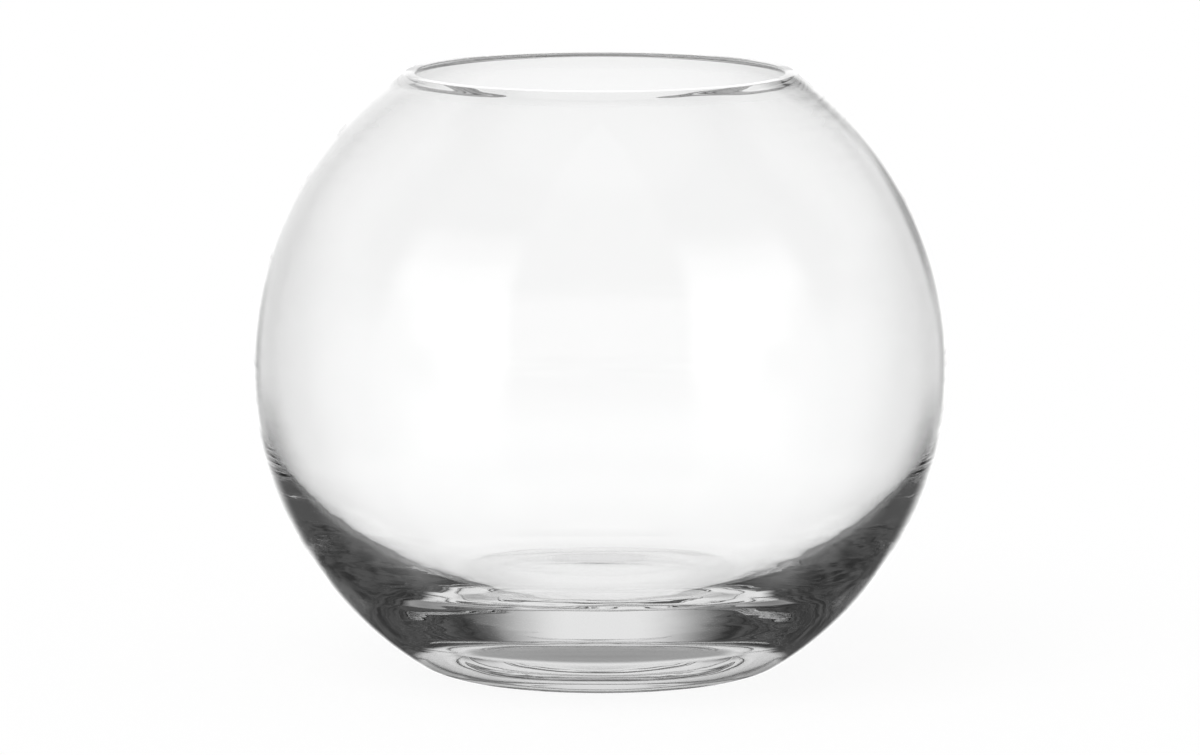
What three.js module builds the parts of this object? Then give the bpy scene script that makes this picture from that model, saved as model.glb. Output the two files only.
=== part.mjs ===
// Globe vase: one body of clear blown glass, revolved about its upright axis.
// Millimetres, +Z up, origin on the table under the middle of the foot.
import * as THREE from 'three';

// Driving dimensions of the outside
const GLOBE_DIAMETER = 180;
const HEIGHT = 156;
const EQUATOR_HEIGHT = 79.5;
const MOUTH_DIAMETER = 101;
const FOOT_DIAMETER = 87;
const HEEL_ROUND = 18.5;

// Shallow dish in the underside, so that the vase stands on a ring
const DISH_DIAMETER = 60;
const DISH_DEPTH = 0.8;

// Wall: thin at the equator, and up to a cut rim with a lip that thickens just under it
const EQUATOR_WALL = 1.2;
const RIM_WIDTH = 3.5;
const RIM_OUTER_ROUND = 1;
const RIM_INNER_ROUND = 0.6;
const LIP_GAIN = 0.42;
const LIP_HEIGHT = 5;

// From this many degrees below the equator the wall gains HEEL_GAIN over the turn that follows
const GAIN_START = 9.5;
const GAIN_TURN = 57;
const HEEL_GAIN = 12.5;

// Floor of the bowl: level, with a shallow dip round the axis
const FLOOR_HEIGHT = 12.35;
const FLOOR_DIP = 0.6;
const FLOOR_DIP_DIAMETER = 36;
const CORNER_BLEND = 6.4;

// Facets round the axis, and steps along each stretch of the section
const SIDES = 72;
const DISH_STEPS = 4;
const GLOBE_STEPS = 12;
const FLOOR_STEPS = 22;
const ROUND_STEPS = 3;
const EVEN = 1;
const TOWARDS_RIM = 1.5;

// A curve about the axis from an equator radius to endRadius at the height end, by angle above the equator
function globeCurve(radius, endRadius, end) {
  const halfHeight = Math.abs(end - EQUATOR_HEIGHT) / Math.sqrt(1 - (endRadius / radius) ** 2);
  const curve = (angle) => new THREE.Vector2(
    radius * Math.cos(angle),
    EQUATOR_HEIGHT + halfHeight * Math.sin(angle),
  );
  curve.reach = (angle) => {
    const across = Math.hypot(halfHeight * Math.cos(angle), radius * Math.sin(angle));
    return (radius * halfHeight) / across;
  };
  return curve;
}

// Normal that points away from the inside of the bowl
function outward(curve, angle) {
  const nudge = 1e-4;
  const along = curve(angle + nudge).sub(curve(angle - nudge));
  return new THREE.Vector2(along.y, -along.x).normalize();
}

// The inside of the upper half, thickened towards the rim
function lippedCurve(curve) {
  return (angle) => {
    const point = curve(angle);
    const share = THREE.MathUtils.smoothstep(point.y, HEIGHT - LIP_HEIGHT, HEIGHT);
    return point.addScaledVector(outward(curve, angle), -LIP_GAIN * share);
  };
}

// Where a round of that radius touches both the curve and the level plane at the height plane.
// glassSide is -1 where the glass lies inside the curve and +1 where it lies outside it.
function roundAgainst(curve, plane, radius, glassSide) {
  const upward = Math.sign(plane - EQUATOR_HEIGHT);
  const centreAt = (angle) => curve(angle).addScaledVector(outward(curve, angle), glassSide * radius);
  let low = 0;
  let high = Math.PI / 2;
  const bisections = 50;
  for (let i = 0; i < bisections; i += 1) {
    const middle = (low + high) / 2;
    const height = (centreAt(upward * middle).y - plane) * upward;
    if (height > -radius) {
      high = middle;
    } else {
      low = middle;
    }
  }
  const angle = (upward * (low + high)) / 2;
  const centre = centreAt(angle);
  const toCurve = outward(curve, angle).multiplyScalar(-glassSide).angle();
  const toPlane = (upward * Math.PI) / 2;
  return { angle, centre, radius, toCurve, toPlane };
}

// Angles are taken the short way round
function arcPoints(round, from, to) {
  const turn = Math.atan2(Math.sin(to - from), Math.cos(to - from));
  const points = [];
  for (let i = 0; i <= ROUND_STEPS; i += 1) {
    const angle = from + (turn * i) / ROUND_STEPS;
    points.push(new THREE.Vector2(
      round.centre.x + round.radius * Math.cos(angle),
      round.centre.y + round.radius * Math.sin(angle),
    ));
  }
  return points;
}

// The stretch of a curve between two angles, without its two ends, crowded towards its start
function stretch(curve, from, to, crowding) {
  const points = [];
  for (let i = 1; i < GLOBE_STEPS; i += 1) {
    points.push(curve(from + (to - from) * (i / GLOBE_STEPS) ** crowding));
  }
  return points;
}

// Underside of the foot from the axis to the standing ring
function dishPoints() {
  const points = [];
  for (let i = 0; i <= DISH_STEPS; i += 1) {
    const share = i / DISH_STEPS;
    points.push(new THREE.Vector2((DISH_DIAMETER / 2) * share, DISH_DEPTH * (1 - share ** 2)));
  }
  return points;
}

function floorLevel(radius) {
  const dip = Math.max(0, 1 - (radius / (FLOOR_DIP_DIAMETER / 2)) ** 2) ** 2;
  return FLOOR_HEIGHT - FLOOR_DIP * dip;
}

// Lower half of the bowl's inside, from just under the equator to the middle of its floor:
// the lesser of the distances to the wall and to the floor, blended where they meet
function floorPoints(outerLower) {
  const points = [];
  for (let i = 1; i < FLOOR_STEPS; i += 1) {
    const angle = ((Math.PI / 2) * i) / FLOOR_STEPS;
    const degrees = THREE.MathUtils.radToDeg(angle);
    const gain = HEEL_GAIN * THREE.MathUtils.smoothstep(degrees, GAIN_START, GAIN_START + GAIN_TURN);
    const wall = outerLower.reach(angle) - EQUATOR_WALL - gain;
    const level = floorLevel((EQUATOR_HEIGHT - FLOOR_HEIGHT) / Math.tan(angle));
    const floor = (EQUATOR_HEIGHT - level) / Math.sin(angle);
    const overlap = Math.max(0, CORNER_BLEND - Math.abs(wall - floor));
    const reach = Math.min(wall, floor) - overlap ** 2 / (4 * CORNER_BLEND);
    points.push(new THREE.Vector2(reach * Math.cos(angle), EQUATOR_HEIGHT - reach * Math.sin(angle)));
  }
  points.push(new THREE.Vector2(0, floorLevel(0)));
  return points;
}

// The whole section of the glass, from the middle of the underside to the middle of the floor
function glassSection() {
  const globeRadius = GLOBE_DIAMETER / 2;
  const innerRadius = globeRadius - EQUATOR_WALL;
  const mouthRadius = MOUTH_DIAMETER / 2;
  const outerLower = globeCurve(globeRadius, FOOT_DIAMETER / 2, 0);
  const outerUpper = globeCurve(globeRadius, mouthRadius, HEIGHT);
  const innerUpper = lippedCurve(globeCurve(innerRadius, mouthRadius - RIM_WIDTH, HEIGHT));
  const heel = roundAgainst(outerLower, 0, HEEL_ROUND, -1);
  const rimOuter = roundAgainst(outerUpper, HEIGHT, RIM_OUTER_ROUND, -1);
  const rimInner = roundAgainst(innerUpper, HEIGHT, RIM_INNER_ROUND, 1);
  return [
    ...dishPoints(),
    ...arcPoints(heel, heel.toPlane, heel.toCurve),
    ...stretch(outerLower, heel.angle, 0, EVEN),
    outerLower(0),
    ...stretch(outerUpper, 0, rimOuter.angle, EVEN),
    ...arcPoints(rimOuter, rimOuter.toCurve, rimOuter.toPlane),
    ...arcPoints(rimInner, rimInner.toPlane, rimInner.toCurve),
    ...stretch(innerUpper, rimInner.angle, 0, TOWARDS_RIM),
    innerUpper(0),
    ...floorPoints(outerLower),
  ];
}

// The lathe turns about Y, so its geometry is stood up on +Z
function glassBowl() {
  const geometry = new THREE.LatheGeometry(glassSection(), SIDES);
  geometry.rotateX(Math.PI / 2);
  const material = new THREE.MeshStandardMaterial({
    color: 0xf3f6f5,
    roughness: 0.03,
    metalness: 0,
    transparent: true,
    opacity: 0.35,
  });
  const mesh = new THREE.Mesh(geometry, material);
  mesh.name = 'glass_bowl';
  return mesh;
}

const vase = new THREE.Group();
vase.add(glassBowl());

export default vase;
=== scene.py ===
# Looks of the globe vase: clear blown glass on a white sweep, in soft studio light.
# Metres, +Z up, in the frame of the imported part. Azimuth 0 is behind the vase as the camera sees it.
import math

import bpy
import numpy as np
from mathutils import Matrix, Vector


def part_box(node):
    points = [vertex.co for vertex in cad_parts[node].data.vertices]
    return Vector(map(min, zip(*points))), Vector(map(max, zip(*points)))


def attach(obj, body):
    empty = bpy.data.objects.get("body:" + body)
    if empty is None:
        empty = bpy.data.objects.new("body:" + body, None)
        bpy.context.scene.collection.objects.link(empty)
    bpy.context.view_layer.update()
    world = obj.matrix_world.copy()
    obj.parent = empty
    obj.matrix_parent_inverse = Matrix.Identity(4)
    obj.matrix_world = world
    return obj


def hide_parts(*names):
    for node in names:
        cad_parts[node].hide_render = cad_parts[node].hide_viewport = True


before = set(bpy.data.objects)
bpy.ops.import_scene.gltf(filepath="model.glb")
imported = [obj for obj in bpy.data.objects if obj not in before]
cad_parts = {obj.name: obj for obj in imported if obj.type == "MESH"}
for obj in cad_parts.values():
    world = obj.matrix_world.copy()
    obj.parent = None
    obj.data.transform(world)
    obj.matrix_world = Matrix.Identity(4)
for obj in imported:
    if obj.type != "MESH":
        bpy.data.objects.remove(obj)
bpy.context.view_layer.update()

MM = 0.001

# Outside of the glass, as in the part's source
NODE = "glass_bowl"
NODE_LOW, NODE_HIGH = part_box(NODE)
GLOBE_RADIUS = (NODE_HIGH[0] - NODE_LOW[0]) / 2
HEIGHT = NODE_HIGH[2] - NODE_LOW[2]
EQUATOR_HEIGHT = 79.5 * MM
MOUTH_RADIUS = 50.5 * MM
FOOT_RADIUS = 43.5 * MM
HEEL_ROUND = 18.5 * MM
DISH_RADIUS = 30.0 * MM
DISH_DEPTH = 0.8 * MM

# Wall and rim
EQUATOR_WALL = 1.2 * MM
RIM_WIDTH = 3.5 * MM
RIM_OUTER_ROUND = 1.0 * MM
RIM_INNER_ROUND = 0.6 * MM
LIP_GAIN = 0.42 * MM
LIP_HEIGHT = 5.0 * MM

# Wall below the equator, and the floor of the bowl
GAIN_START = math.radians(9.5)
GAIN_TURN = math.radians(57)
HEEL_GAIN = 12.5 * MM
FLOOR_HEIGHT = 12.35 * MM
FLOOR_DIP = 0.6 * MM
FLOOR_DIP_RADIUS = 18.0 * MM
CORNER_BLEND = 6.4 * MM

# Fineness of the glass mesh
SIDES = 216
LOWER_STEPS = 60
UPPER_STEPS = 90
FLOOR_STEPS = 130
DISH_STEPS = 16
HEEL_STEPS = 14
ROUND_STEPS = 8
EVEN = 1.0
TOWARDS_RIM = 1.6

# Unevenness that is left by the blowing: ripples under the rim at the right, and level streaks
# in the surface with a faint cord of tint along them
RIPPLE_DEPTH = 0.022 * MM
RIPPLE_PITCH = 2.6 * MM
RIPPLE_REACH = 16.0 * MM
RIPPLE_MARGIN = 2.0 * MM
RIPPLE_FOCUS = 8
STREAK_DEPTH = 0.1 * MM
STREAK_LENGTH = 60.0 * MM
STREAK_WIDTH = 7.0 * MM
CORD_TINT = (0.996, 0.998, 0.997, 1)
WHITE = (1, 1, 1, 1)
GLASS_INDEX = 1.5

# Camera, from the photograph's 1200 by 755 frame
PHOTO_SIZE = (1200, 755)
GLOBE_CENTRE_PX = (600, 365)
GLOBE_RADIUS_PX = 347
CAMERA_ELEVATION = math.radians(7.8)
CAMERA_DISTANCE = 26 * GLOBE_RADIUS
SENSOR_WIDTH = 36

# Studio round the vase, as light sees it that has been inside the glass; its dark sides are mottled
SIDE_LEVELS = (0.015, 0.08)
MOTTLE_SCALE = 7.0
MOTTLE_MIDDLE = 0.5
MOTTLE_SOFTNESS = 0.3
FRONT_AZIMUTH = math.radians(126)
FRONT_TOP = math.radians(8)
FRONT_LEVEL = 1.15
APRON_AZIMUTH = math.radians(114)
APRON_TOP = math.radians(-2)
TABLE_ELEVATION = math.radians(-22.5)
TABLE_LEVEL = 0.55
BACK_PANEL_AZIMUTH = math.radians(19)
BACK_PANEL_SOFTNESS = math.radians(25)
BACK_PANEL_LEVEL = 0.82
BACK_PANEL_TOP = math.radians(44)
BACK_PANEL_FOOT = math.radians(-20)
BACK_TABLE_LEVEL = 0.31
TOP_ELEVATION = math.radians(65)
TOP_LEVEL = 0.5
UNDER_ELEVATION = math.radians(-67)
UNDER_LEVEL = 0.55

# Light that has bounced more often than this inside the wall is even: dim, and paler after
# a long way round
TRAPPED_BOUNCES = 15.5
TRAPPED_LEVEL = 0.075
LONG_BOUNCES = 26.5
LONG_LEVEL = 0.55

# Studio as the outside of the glass mirrors it: bright wings, a taller soft box in each, a gap between
# them where the camera stands, a dark table beside a bright strip behind the vase, a grey post at each
# side of it and narrow dark screens at the right
BACKDROP_LEVEL = 1.3
BACKDROP_TOP = math.radians(52)
WING_AZIMUTH = math.radians(78)
WING_SOFTNESS = math.radians(30)
WING_TOP = math.radians(16)
WING_LEVEL = 2.4
SOFTBOX_AZIMUTH = math.radians(125)
SOFTBOX_HALF_WIDTH = math.radians(23.5)
SOFTBOX_TOP = math.radians(16.6)
SOFTBOX_LEAN = 0.16
SOFTBOX_LEVEL = 2.8
GAP_AZIMUTH = math.radians(149)
GAP_FOOT = math.radians(-3)
GAP_SOFTNESS = math.radians(26)
GAP_LEVEL = 0.9
CEILING_LEVEL = 0.6
DARK_AZIMUTH = math.radians(38)
DARK_LEAN = 0.65
DARK_ELEVATION = math.radians(-10.5)
DARK_LEVEL = 0.1
NADIR_ELEVATION = math.radians(-52)
NADIR_LEVEL = 0.2
STRIP_AZIMUTH = math.radians(20)
STRIP_FOOT = math.radians(-18.5)
POST_MIDDLE = (math.radians(22), math.radians(-7.5))
POST_HALF_SIZE = (math.radians(4.5), math.radians(5))
POST_LEVEL = 0.7
SCREEN_DEGREES = ((23, 3.5), (18, 16), (20, 24), (23, 31))
SCREEN_MIDDLES = [(math.radians(a), math.radians(e)) for a, e in SCREEN_DEGREES]
SCREEN_HALF_SIZE = (math.radians(6), math.radians(5))
SCREEN_LEVEL = 0.1

# Soft edges in both rooms
NARROW_SOFTNESS = math.radians(8)
EDGE_SOFTNESS = math.radians(13)
WIDE_SOFTNESS = math.radians(20)

# Even light, white floor and a soft sun for its shadow
AMBIENT_LEVEL = 0.74
FLOOR_RADIUS = 9.0
FLOOR_SIDES = 128
FLOOR_DROP = 0.2 * MM
FLOOR_SHADE = 0.08
FLOOR_COLOUR = (0.95, 0.95, 0.95, 1)
SUN_STRENGTH = 1.2
SUN_ANGLE = math.radians(45)
SUN_TILT = math.radians(35)
SUN_TURN = math.radians(-30)

# Steps of the search for a round's place, most bounces of light, and the depth above no bounce at all
BISECTIONS = 50
MAX_BOUNCES = 64
AT_LEAST_ONE = 0.5

# Sockets of the Mix node that share their names
FLOAT_A, FLOAT_B = 2, 3
COLOUR_A, COLOUR_B, COLOUR_RESULT = 6, 7, 2


def smoothstep(value, low, high):
    share = min(1.0, max(0.0, (value - low) / (high - low)))
    return share * share * (3 - 2 * share)


def globe_curve(radius, end_radius, end):
    """A curve about the axis from an equator radius to end_radius at the height end, by angle above the
    equator."""
    half_height = abs(end - EQUATOR_HEIGHT) / math.sqrt(1 - (end_radius / radius) ** 2)

    def curve(angle):
        return np.array((radius * math.cos(angle), EQUATOR_HEIGHT + half_height * math.sin(angle)))

    def reach(angle):
        return radius * half_height / math.hypot(half_height * math.cos(angle), radius * math.sin(angle))

    return curve, reach


def outward(curve, angle):
    """Normal that points away from the inside of the bowl."""
    nudge = 1e-4
    along = curve(angle + nudge) - curve(angle - nudge)
    return np.array((along[1], -along[0])) / np.linalg.norm(along)


def lipped(curve):
    """The inside of the upper half, thickened towards the rim."""
    def thick(angle):
        point = curve(angle)
        share = smoothstep(point[1], HEIGHT - LIP_HEIGHT, HEIGHT)
        return point - outward(curve, angle) * LIP_GAIN * share

    return thick


def ripple(angle, height):
    """How far the wall swells out at that angle about the axis and that height."""
    drop = HEIGHT - RIPPLE_MARGIN - height
    share = smoothstep(drop, 0.0, RIPPLE_MARGIN) * (1 - smoothstep(drop, RIPPLE_REACH / 2, RIPPLE_REACH))
    focus = max(0.0, math.cos(angle)) ** RIPPLE_FOCUS
    return RIPPLE_DEPTH * share * focus * math.sin(2 * math.pi * drop / RIPPLE_PITCH)


def round_against(curve, plane, radius, glass_side):
    """The round that touches both the curve and a level plane: its angle on the curve, its centre and
    the directions of its two ends."""
    upward = math.copysign(1, plane - EQUATOR_HEIGHT)

    def centre_at(angle):
        return curve(angle) + outward(curve, angle) * glass_side * radius

    low, high = 0.0, math.pi / 2
    for _ in range(BISECTIONS):
        middle = (low + high) / 2
        if (centre_at(upward * middle)[1] - plane) * upward > -radius:
            high = middle
        else:
            low = middle
    angle = upward * (low + high) / 2
    normal = -glass_side * outward(curve, angle)
    return angle, centre_at(angle), math.atan2(normal[1], normal[0]), upward * math.pi / 2


def arc(centre, radius, start, end, steps):
    turn = math.atan2(math.sin(end - start), math.cos(end - start))
    angles = [start + turn * i / steps for i in range(steps + 1)]
    return [centre + radius * np.array((math.cos(a), math.sin(a))) for a in angles]


def stretch(curve, start, end, steps, crowding):
    """Points of a curve between two angles, without its ends, crowded towards the start."""
    shares = [(i / steps) ** crowding for i in range(1, steps)]
    return [curve(start + (end - start) * share) for share in shares]


def floor_level(radius):
    dip = max(0.0, 1 - (radius / FLOOR_DIP_RADIUS) ** 2) ** 2
    return FLOOR_HEIGHT - FLOOR_DIP * dip


def bowl_floor(outer_reach):
    """Lower half of the inside: the nearer of wall and floor, blended where they meet."""
    points = []
    for i in range(1, FLOOR_STEPS):
        angle = math.pi / 2 * i / FLOOR_STEPS
        gain = HEEL_GAIN * smoothstep(angle, GAIN_START, GAIN_START + GAIN_TURN)
        wall = outer_reach(angle) - EQUATOR_WALL - gain
        level = floor_level((EQUATOR_HEIGHT - FLOOR_HEIGHT) / math.tan(angle))
        floor = (EQUATOR_HEIGHT - level) / math.sin(angle)
        overlap = max(0.0, CORNER_BLEND - abs(wall - floor))
        reach = min(wall, floor) - overlap ** 2 / (4 * CORNER_BLEND)
        points.append(np.array((reach * math.cos(angle), EQUATOR_HEIGHT - reach * math.sin(angle))))
    points.append(np.array((0.0, floor_level(0.0))))
    return points


def glass_section():
    """Points of the section from the middle of the underside, up the outside and down to the floor."""
    inner_radius = GLOBE_RADIUS - EQUATOR_WALL
    outer_lower, lower_reach = globe_curve(GLOBE_RADIUS, FOOT_RADIUS, 0.0)
    outer_upper = globe_curve(GLOBE_RADIUS, MOUTH_RADIUS, HEIGHT)[0]
    inner_upper = lipped(globe_curve(inner_radius, MOUTH_RADIUS - RIM_WIDTH, HEIGHT)[0])
    heel_at, heel_centre, heel_wall, heel_down = round_against(outer_lower, 0.0, HEEL_ROUND, -1)
    out_at, out_centre, out_wall, out_up = round_against(outer_upper, HEIGHT, RIM_OUTER_ROUND, -1)
    in_at, in_centre, in_wall, in_up = round_against(inner_upper, HEIGHT, RIM_INNER_ROUND, 1)
    shares = [i / DISH_STEPS for i in range(DISH_STEPS + 1)]
    points = [np.array((DISH_RADIUS * s, DISH_DEPTH * (1 - s * s))) for s in shares]
    points += arc(heel_centre, HEEL_ROUND, heel_down, heel_wall, HEEL_STEPS)
    points += stretch(outer_lower, heel_at, 0.0, LOWER_STEPS, EVEN)
    points.append(outer_lower(0.0))
    points += reversed(stretch(outer_upper, out_at, 0.0, UPPER_STEPS, TOWARDS_RIM))
    points += arc(out_centre, RIM_OUTER_ROUND, out_wall, out_up, ROUND_STEPS)
    points += arc(in_centre, RIM_INNER_ROUND, in_up, in_wall, ROUND_STEPS)
    points += stretch(inner_upper, in_at, 0.0, UPPER_STEPS, TOWARDS_RIM)
    points.append(inner_upper(0.0))
    return points + bowl_floor(lower_reach)


def revolve(name, points):
    """A closed smooth mesh of revolution with its ripples; the points begin and end on the axis."""
    angles = [2 * math.pi * j / SIDES for j in range(SIDES)]
    rings = points[1:-1]
    vertices = [(0.0, 0.0, points[0][1])]
    for radius, z in rings:
        for angle in angles:
            reach = radius + ripple(angle, z)
            vertices.append((reach * math.cos(angle), reach * math.sin(angle), z))
    vertices.append((0.0, 0.0, points[-1][1]))
    last = len(vertices) - 1
    faces = []
    for j in range(SIDES):
        k = (j + 1) % SIDES
        faces.append((0, 1 + k, 1 + j))
        for i in range(len(rings) - 1):
            low = 1 + i * SIDES
            high = low + SIDES
            faces.append((low + j, low + k, high + k, high + j))
        low = 1 + (len(rings) - 1) * SIDES
        faces.append((low + j, low + k, last))
    mesh = bpy.data.meshes.new(name)
    mesh.from_pydata(vertices, [], faces)
    mesh.polygons.foreach_set("use_smooth", [True] * len(mesh.polygons))
    mesh.update()
    piece = bpy.data.objects.new(name, mesh)
    bpy.context.scene.collection.objects.link(piece)
    return piece


def put(tree, socket, value):
    if isinstance(value, bpy.types.NodeSocket):
        tree.links.new(value, socket)
    else:
        socket.default_value = value


def clear_glass():
    """Clear glass, with level streaks in its surface and a faint cord of tint along them."""
    material = bpy.data.materials.new("clear_glass")
    material.use_nodes = True
    tree = material.node_tree
    shader = tree.nodes["Principled BSDF"]
    place = tree.nodes.new("ShaderNodeMapping")
    put(tree, place.inputs["Vector"], tree.nodes.new("ShaderNodeTexCoord").outputs["Object"])
    place.inputs["Scale"].default_value = (1 / STREAK_LENGTH, 1 / STREAK_LENGTH, 1 / STREAK_WIDTH)
    streaks = tree.nodes.new("ShaderNodeTexNoise")
    put(tree, streaks.inputs["Vector"], place.outputs["Vector"])
    streaks.inputs["Scale"].default_value = 1.0
    tint = tree.nodes.new("ShaderNodeMix")
    tint.data_type = "RGBA"
    put(tree, tint.inputs["Factor"], streaks.outputs[0])
    tint.inputs[COLOUR_A].default_value = WHITE
    tint.inputs[COLOUR_B].default_value = CORD_TINT
    wave = tree.nodes.new("ShaderNodeBump")
    wave.inputs["Distance"].default_value = STREAK_DEPTH
    put(tree, wave.inputs["Height"], streaks.outputs[0])
    put(tree, shader.inputs["Base Color"], tint.outputs[COLOUR_RESULT])
    put(tree, shader.inputs["Normal"], wave.outputs["Normal"])
    shader.inputs["Roughness"].default_value = 0.0
    shader.inputs["IOR"].default_value = GLASS_INDEX
    shader.inputs["Transmission Weight"].default_value = 1.0
    return material


def math_node(tree, operation, *values):
    node = tree.nodes.new("ShaderNodeMath")
    node.operation = operation
    for socket, value in zip(node.inputs, values):
        put(tree, socket, value)
    return node.outputs[0]


def above(tree, value, edge, softness=EDGE_SOFTNESS):
    """0 below the edge and 1 above it, with a soft step."""
    node = tree.nodes.new("ShaderNodeMapRange")
    node.interpolation_type = "SMOOTHSTEP"
    put(tree, node.inputs["Value"], value)
    node.inputs["From Min"].default_value = edge - softness / 2
    node.inputs["From Max"].default_value = edge + softness / 2
    return node.outputs[0]


def below(tree, value, edge, softness=EDGE_SOFTNESS):
    return math_node(tree, "SUBTRACT", 1.0, above(tree, value, edge, softness))


def within(tree, value, centre, half_width, softness=EDGE_SOFTNESS):
    off = math_node(tree, "ABSOLUTE", math_node(tree, "SUBTRACT", value, centre))
    return below(tree, off, half_width, softness)


def both(tree, first, second):
    return math_node(tree, "MULTIPLY", first, second)


def patch(tree, azimuth, elevation, middle, half_size):
    """1 in a small upright oblong of the studio and 0 round it."""
    wide = within(tree, azimuth, middle[0], half_size[0], NARROW_SOFTNESS)
    return both(tree, wide, within(tree, elevation, middle[1], half_size[1], NARROW_SOFTNESS))


def leaned(tree, value, other, lean):
    return math_node(tree, "ADD", value, math_node(tree, "MULTIPLY", other, lean))


def blend(tree, share, low, high):
    node = tree.nodes.new("ShaderNodeMix")
    put(tree, node.inputs[0], share)
    put(tree, node.inputs[FLOAT_A], low)
    put(tree, node.inputs[FLOAT_B], high)
    return node.outputs[0]


def seen_and_bounced(tree):
    """Whether a ray carries the picture, and whether the glass has reflected it on its way."""
    path = tree.nodes.new("ShaderNodeLightPath")
    kinds = (path.outputs["Is Glossy Ray"], path.outputs["Is Transmission Ray"])
    through = math_node(tree, "MAXIMUM", *kinds)
    seen = math_node(tree, "MAXIMUM", path.outputs["Is Camera Ray"], through)
    bounced = math_node(tree, "GREATER_THAN", path.outputs["Glossy Depth"], AT_LEAST_ONE)
    return seen, bounced


def room_inside(tree, azimuth, elevation):
    """Levels of the studio for light that has been inside the glass: dark, mottled sides, a pale front
    and table, and a panel behind the vase."""
    before = above(tree, azimuth, FRONT_AZIMUTH, WIDE_SOFTNESS)
    front = both(tree, before, below(tree, elevation, FRONT_TOP))
    mottle = tree.nodes.new("ShaderNodeTexNoise")
    put(tree, mottle.inputs["Vector"], tree.nodes.new("ShaderNodeTexCoord").outputs["Generated"])
    mottle.inputs["Scale"].default_value = MOTTLE_SCALE
    side = blend(tree, above(tree, mottle.outputs[0], MOTTLE_MIDDLE, MOTTLE_SOFTNESS), *SIDE_LEVELS)
    level = blend(tree, front, side, FRONT_LEVEL)
    before = above(tree, azimuth, APRON_AZIMUTH, WIDE_SOFTNESS)
    apron = both(tree, before, below(tree, elevation, APRON_TOP))
    level = blend(tree, apron, level, FRONT_LEVEL)
    level = blend(tree, below(tree, elevation, TABLE_ELEVATION), level, TABLE_LEVEL)
    panel = blend(tree, above(tree, elevation, BACK_PANEL_FOOT), BACK_TABLE_LEVEL, BACK_PANEL_LEVEL)
    behind = below(tree, azimuth, BACK_PANEL_AZIMUTH, BACK_PANEL_SOFTNESS)
    level = blend(tree, both(tree, behind, below(tree, elevation, BACK_PANEL_TOP)), level, panel)
    level = blend(tree, above(tree, elevation, TOP_ELEVATION), level, TOP_LEVEL)
    return blend(tree, below(tree, elevation, UNDER_ELEVATION), level, UNDER_LEVEL)


def room_outside(tree, azimuth, elevation, signed_azimuth):
    """Levels of the studio for light that the outside of the glass mirrors."""
    wing = blend(tree, above(tree, elevation, WING_TOP, WIDE_SOFTNESS), WING_LEVEL, CEILING_LEVEL)
    backdrop = blend(tree, above(tree, elevation, BACKDROP_TOP), BACKDROP_LEVEL, CEILING_LEVEL)
    level = blend(tree, above(tree, azimuth, WING_AZIMUTH, WING_SOFTNESS), backdrop, wing)
    wide = within(tree, azimuth, SOFTBOX_AZIMUTH, SOFTBOX_HALF_WIDTH)
    under = below(tree, leaned(tree, elevation, azimuth, -SOFTBOX_LEAN), SOFTBOX_TOP, WIDE_SOFTNESS)
    level = blend(tree, both(tree, wide, under), level, SOFTBOX_LEVEL)
    between = above(tree, azimuth, GAP_AZIMUTH, NARROW_SOFTNESS)
    over = above(tree, elevation, GAP_FOOT, GAP_SOFTNESS)
    level = blend(tree, both(tree, between, over), level, GAP_LEVEL)
    behind = below(tree, leaned(tree, azimuth, elevation, DARK_LEAN), DARK_AZIMUTH, WIDE_SOFTNESS)
    dark = both(tree, behind, below(tree, elevation, DARK_ELEVATION, NARROW_SOFTNESS))
    narrow = below(tree, azimuth, STRIP_AZIMUTH, WIDE_SOFTNESS)
    strip = both(tree, narrow, above(tree, elevation, STRIP_FOOT, NARROW_SOFTNESS))
    level = blend(tree, both(tree, dark, math_node(tree, "SUBTRACT", 1.0, strip)), level, DARK_LEVEL)
    post = patch(tree, azimuth, elevation, POST_MIDDLE, POST_HALF_SIZE)
    level = blend(tree, post, level, POST_LEVEL)
    for middle in SCREEN_MIDDLES:
        screen = patch(tree, signed_azimuth, elevation, middle, SCREEN_HALF_SIZE)
        level = blend(tree, screen, level, SCREEN_LEVEL)
    return blend(tree, below(tree, elevation, NADIR_ELEVATION), level, NADIR_LEVEL)


def studio_world():
    """White straight behind the glass; what the glass reflects is a dark room with soft boxes."""
    world = bpy.data.worlds.new("studio")
    world.use_nodes = True
    bpy.context.scene.world = world
    tree = world.node_tree
    background = tree.nodes["Background"]
    parts = tree.nodes.new("ShaderNodeSeparateXYZ")
    put(tree, parts.inputs[0], tree.nodes.new("ShaderNodeTexCoord").outputs["Generated"])
    signed_azimuth = math_node(tree, "ARCTAN2", parts.outputs["X"], parts.outputs["Y"])
    azimuth = math_node(tree, "ABSOLUTE", signed_azimuth)
    elevation = math_node(tree, "ARCSINE", parts.outputs["Z"])
    path = tree.nodes.new("ShaderNodeLightPath")
    been_inside = math_node(tree, "GREATER_THAN", path.outputs["Transmission Depth"], AT_LEAST_ONE)
    trapped = math_node(tree, "GREATER_THAN", path.outputs["Ray Depth"], TRAPPED_BOUNCES)
    mirrored = room_outside(tree, azimuth, elevation, signed_azimuth)
    level = blend(tree, been_inside, mirrored, room_inside(tree, azimuth, elevation))
    long_way = math_node(tree, "GREATER_THAN", path.outputs["Ray Depth"], LONG_BOUNCES)
    level = blend(tree, trapped, level, blend(tree, long_way, TRAPPED_LEVEL, LONG_LEVEL))
    seen, bounced = seen_and_bounced(tree)
    shown = blend(tree, bounced, 1.0, level)
    put(tree, background.inputs["Strength"], blend(tree, seen, AMBIENT_LEVEL, shown))
    background.inputs["Color"].default_value = WHITE


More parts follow.
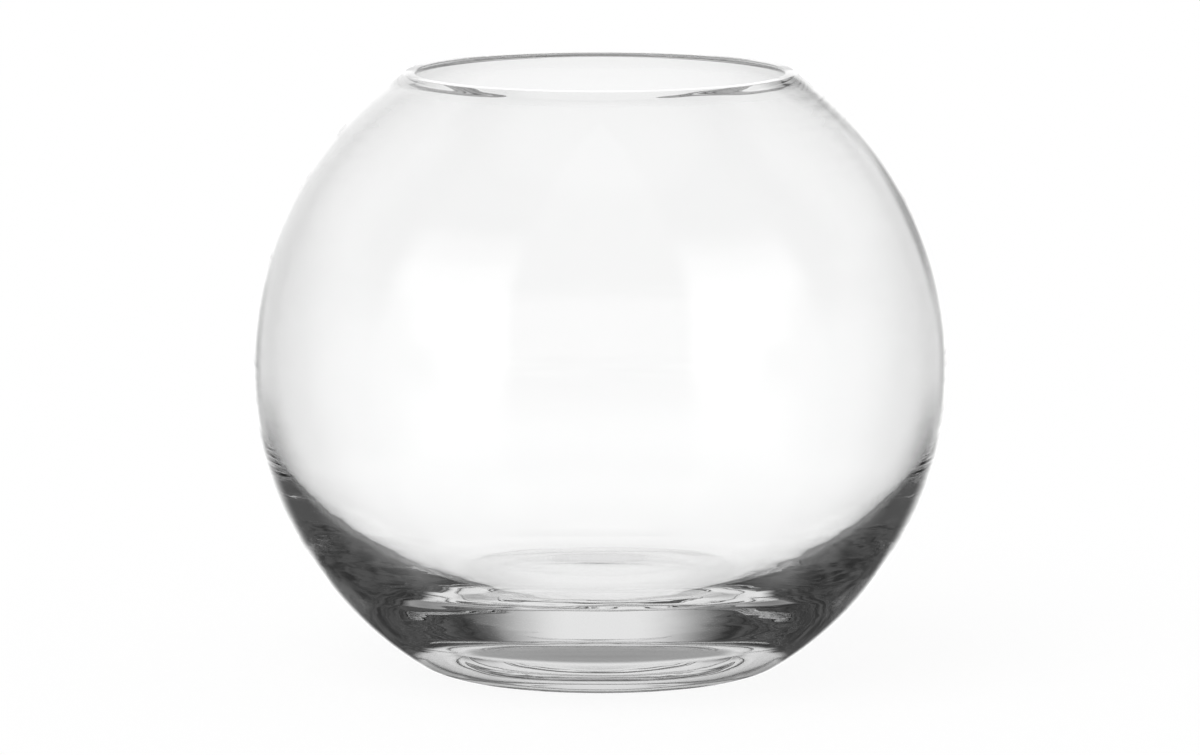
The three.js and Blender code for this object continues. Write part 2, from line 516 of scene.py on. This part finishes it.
def white_floor():
    """White as the camera sees it, with a faint shadow, and clear for what the glass reflects."""
    bpy.ops.mesh.primitive_circle_add(vertices=FLOOR_SIDES, radius=FLOOR_RADIUS, fill_type="NGON")
    floor = bpy.context.object
    floor.name = "floor"
    floor.location.z = -FLOOR_DROP
    material = bpy.data.materials.new("white_floor")
    material.use_nodes = True
    tree = material.node_tree
    tree.nodes.clear()
    output = tree.nodes.new("ShaderNodeOutputMaterial")
    diffuse = tree.nodes.new("ShaderNodeBsdfDiffuse")
    diffuse.inputs["Color"].default_value = FLOOR_COLOUR
    glow = tree.nodes.new("ShaderNodeEmission")
    clear = tree.nodes.new("ShaderNodeBsdfTransparent")
    seen, bounced = seen_and_bounced(tree)
    lit = tree.nodes.new("ShaderNodeMixShader")
    put(tree, lit.inputs[0], math_node(tree, "MULTIPLY", seen, 1 - FLOOR_SHADE))
    put(tree, lit.inputs[1], diffuse.outputs[0])
    put(tree, lit.inputs[2], glow.outputs[0])
    shown = tree.nodes.new("ShaderNodeMixShader")
    put(tree, shown.inputs[0], both(tree, seen, bounced))
    put(tree, shown.inputs[1], lit.outputs[0])
    put(tree, shown.inputs[2], clear.outputs[0])
    put(tree, output.inputs["Surface"], shown.outputs[0])
    floor.data.materials.append(material)


def soft_sun():
    """A lamp that only the floor's shadow shows."""
    lamp = bpy.data.lights.new("soft_sun", "SUN")
    lamp.energy = SUN_STRENGTH
    lamp.angle = SUN_ANGLE
    sun = bpy.data.objects.new("soft_sun", lamp)
    bpy.context.scene.collection.objects.link(sun)
    sun.rotation_euler = (SUN_TILT, 0, SUN_TURN)
    sun.visible_camera = False
    sun.visible_glossy = False
    sun.visible_transmission = False


def photo_camera():
    """A long lens at the photograph's elevation, with the globe where the photograph has it."""
    camera = bpy.data.cameras.new("camera")
    camera.sensor_width = SENSOR_WIDTH
    camera.lens = SENSOR_WIDTH * GLOBE_RADIUS_PX * CAMERA_DISTANCE / (GLOBE_RADIUS * PHOTO_SIZE[0])
    seat = bpy.data.objects.new("camera", camera)
    bpy.context.scene.collection.objects.link(seat)
    back = Vector((0, -math.cos(CAMERA_ELEVATION), math.sin(CAMERA_ELEVATION)))
    up = Vector((0, math.sin(CAMERA_ELEVATION), math.cos(CAMERA_ELEVATION)))
    below_centre = (PHOTO_SIZE[1] / 2 - GLOBE_CENTRE_PX[1]) / GLOBE_RADIUS_PX * GLOBE_RADIUS
    target = Vector((0, 0, EQUATOR_HEIGHT)) - up * below_centre
    seat.location = target + back * CAMERA_DISTANCE
    seat.rotation_mode = "QUATERNION"
    seat.rotation_quaternion = (-back).to_track_quat("-Z", "Y")
    bpy.context.scene.camera = seat


photo_camera()
glass = revolve("vase_glass", glass_section())
glass.data.materials.append(clear_glass())
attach(glass, "root")
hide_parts(NODE)
white_floor()
studio_world()
soft_sun()

scene = bpy.context.scene
scene.view_settings.view_transform = "Standard"
scene.cycles.max_bounces = MAX_BOUNCES
scene.cycles.glossy_bounces = MAX_BOUNCES
scene.cycles.transmission_bounces = MAX_BOUNCES
